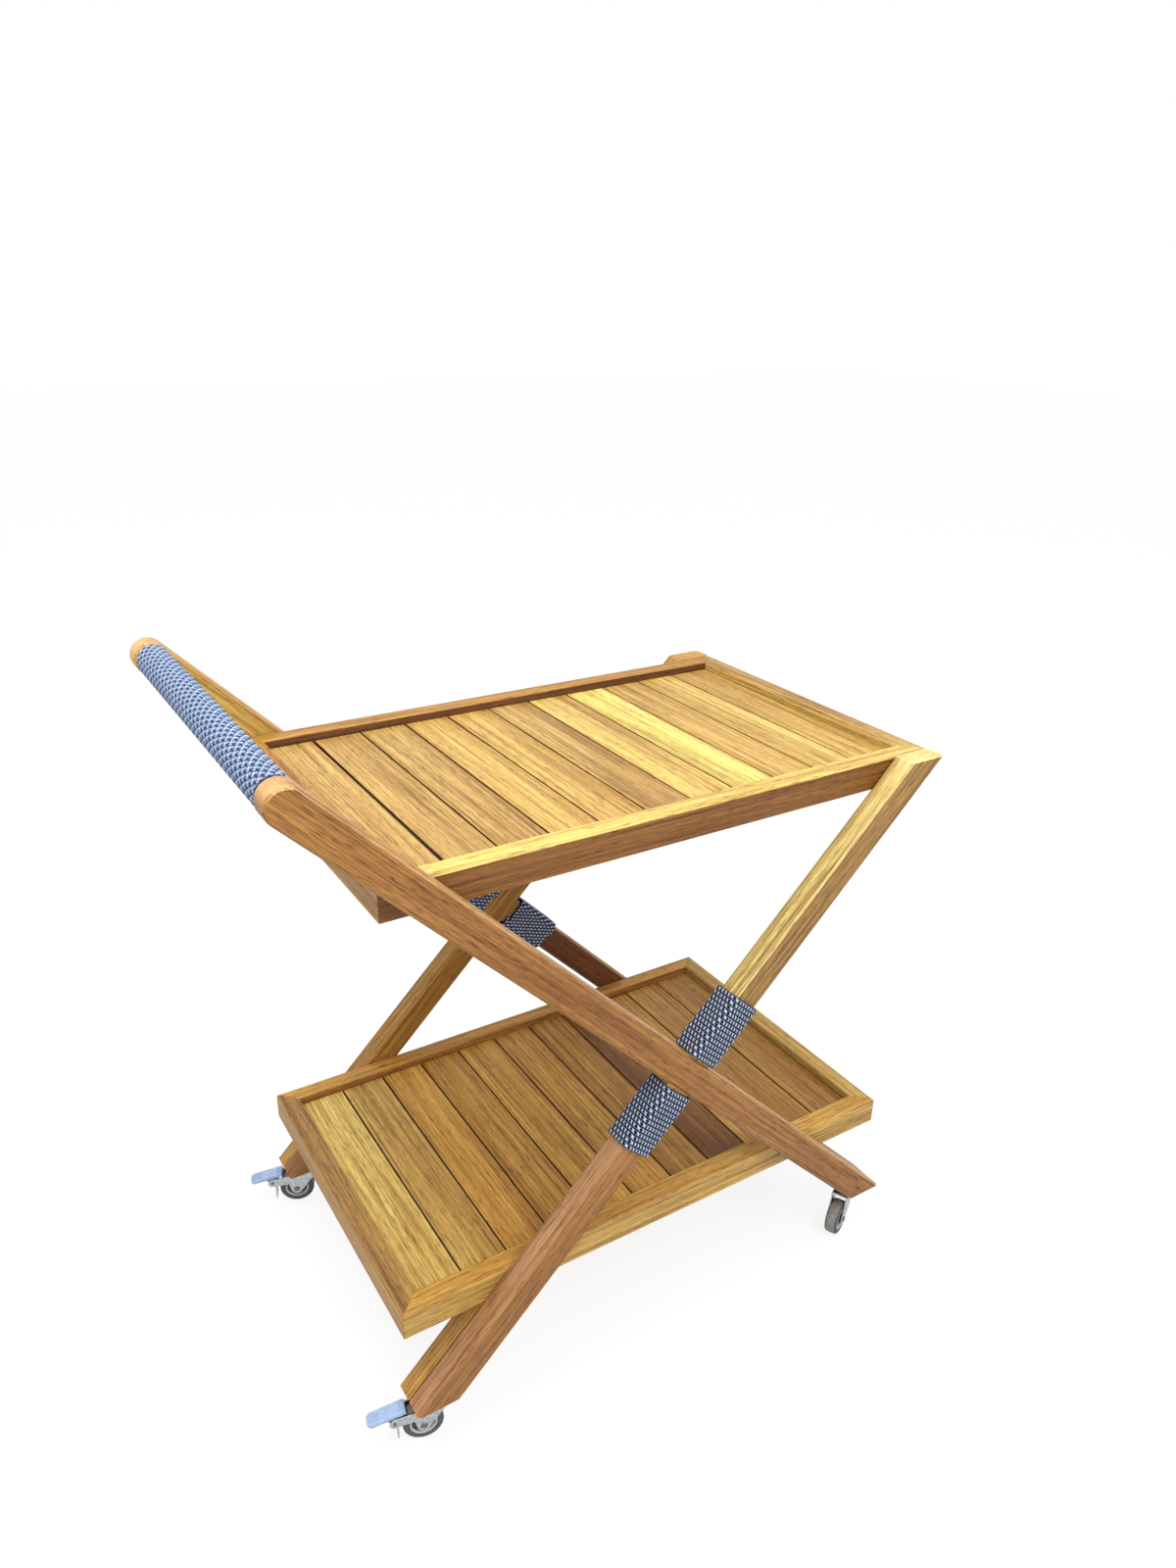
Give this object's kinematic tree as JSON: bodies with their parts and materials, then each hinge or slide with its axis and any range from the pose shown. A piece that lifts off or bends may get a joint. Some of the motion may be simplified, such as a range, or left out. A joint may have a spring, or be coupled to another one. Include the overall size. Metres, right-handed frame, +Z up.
{
  "type": "serving cart",
  "caption": "Wooden serving cart with two slatted trays on crossed legs, a cord-wound push handle and swivel casters, the rear ones with brake pedals.",
  "frame": {"origin": "on the floor under the middle of the cart's length and width", "axes": "+X from the handle to the front, +Y to the left of the person pushing, +Z up"},
  "size_m": [0.847, 0.5291, 0.893],
  "materials": {
    "leg_wood": "oiled, satin",
    "rail_wood": "oiled, satin",
    "slat_wood": "oiled, satin",
    "cord": "braided cord in two blues",
    "zinc": "zinc plated, satin",
    "tyre": "matt grey",
    "wheel_core": "matt light grey",
    "pedal": "matt blue-grey",
    "lever": "matt black"
  },
  "bodies": {
    "frame": {"caster_stems": "zinc", "front_left_foot_block": "leg_wood", "front_right_foot_block": "leg_wood", "handle_bar": "leg_wood", "handle_cord": "cord", "left_handle_leg": "leg_wood", "left_lower_wrap": "cord", "left_tray_leg": "leg_wood", "left_upper_wrap": "cord", "lower_tray_front_rail": "rail_wood", "lower_tray_ledgers": "rail_wood", "lower_tray_left_rail": "rail_wood", "lower_tray_rear_rail": "rail_wood", "lower_tray_right_rail": "rail_wood", "lower_tray_slats": "slat_wood", "rear_left_foot_block": "leg_wood", "rear_right_foot_block": "leg_wood", "right_handle_leg": "leg_wood", "right_lower_wrap": "cord", "right_tray_leg": "leg_wood", "right_upper_wrap": "cord", "top_tray_front_rail": "rail_wood", "top_tray_ledgers": "rail_wood", "top_tray_left_rail": "rail_wood", "top_tray_rear_rail": "rail_wood", "top_tray_right_rail": "rail_wood", "top_tray_slats": "slat_wood"},
    "rear_right_caster": {"rear_right_axle": "zinc", "rear_right_fork": "zinc", "rear_right_pedal_pin": "zinc"},
    "rear_right_wheel_body": {"rear_right_tyre": "tyre", "rear_right_wheel": "wheel_core"},
    "rear_right_brake": {"rear_right_brake_plate": "zinc", "rear_right_lever": "lever", "rear_right_pedal": "pedal"},
    "rear_left_caster": {"rear_left_axle": "zinc", "rear_left_fork": "zinc", "rear_left_pedal_pin": "zinc"},
    "rear_left_wheel_body": {"rear_left_tyre": "tyre", "rear_left_wheel": "wheel_core"},
    "rear_left_brake": {"rear_left_brake_plate": "zinc", "rear_left_lever": "lever", "rear_left_pedal": "pedal"},
    "front_right_caster": {"front_right_axle": "zinc", "front_right_fork": "zinc"},
    "front_right_wheel_body": {"front_right_tyre": "tyre", "front_right_wheel": "wheel_core"},
    "front_left_caster": {"front_left_axle": "zinc", "front_left_fork": "zinc"},
    "front_left_wheel_body": {"front_left_tyre": "tyre", "front_left_wheel": "wheel_core"}
  },
  "joints": [
    {"name": "rear_right_swivel", "type": "hinge", "parent": "frame", "child": "rear_right_caster", "pos_m": [-0.2765, -0.227, 0.06], "axis": [0, 0, 1], "continuous": true},
    {"name": "rear_right_roll", "type": "hinge", "parent": "rear_right_caster", "child": "rear_right_wheel_body", "pos_m": [-0.29775, -0.22131, 0.025], "axis": [-0.2588, -0.9659, 0], "continuous": true},
    {"name": "rear_right_pedal_press", "type": "hinge", "parent": "rear_right_caster", "child": "rear_right_brake", "pos_m": [-0.33117, -0.21235, 0.039], "axis": [-0.2588, -0.9659, 0], "range_deg": [0, 14]},
    {"name": "rear_left_swivel", "type": "hinge", "parent": "frame", "child": "rear_left_caster", "pos_m": [-0.2765, 0.227, 0.06], "axis": [0, 0, 1], "continuous": true},
    {"name": "rear_left_roll", "type": "hinge", "parent": "rear_left_caster", "child": "rear_left_wheel_body", "pos_m": [-0.29675, 0.2356, 0.025], "axis": [-0.3907, -0.9205, 0], "continuous": true},
    {"name": "rear_left_pedal_press", "type": "hinge", "parent": "rear_left_caster", "child": "rear_left_brake", "pos_m": [-0.3286, 0.24912, 0.039], "axis": [-0.3907, -0.9205, 0], "range_deg": [0, 14]},
    {"name": "front_right_swivel", "type": "hinge", "parent": "frame", "child": "front_right_caster", "pos_m": [0.3835, -0.227, 0.06], "axis": [0, 0, 1], "continuous": true},
    {"name": "front_right_roll", "type": "hinge", "parent": "front_right_caster", "child": "front_right_wheel_body", "pos_m": [0.36356, -0.2363, 0.025], "axis": [0.4226, -0.9063, 0], "continuous": true},
    {"name": "front_left_swivel", "type": "hinge", "parent": "frame", "child": "front_left_caster", "pos_m": [0.3835, 0.227, 0.06], "axis": [0, 0, 1], "continuous": true},
    {"name": "front_left_roll", "type": "hinge", "parent": "front_left_caster", "child": "front_left_wheel_body", "pos_m": [0.36171, 0.23006, 0.025], "axis": [-0.1392, -0.9903, 0], "continuous": true}
  ]
}
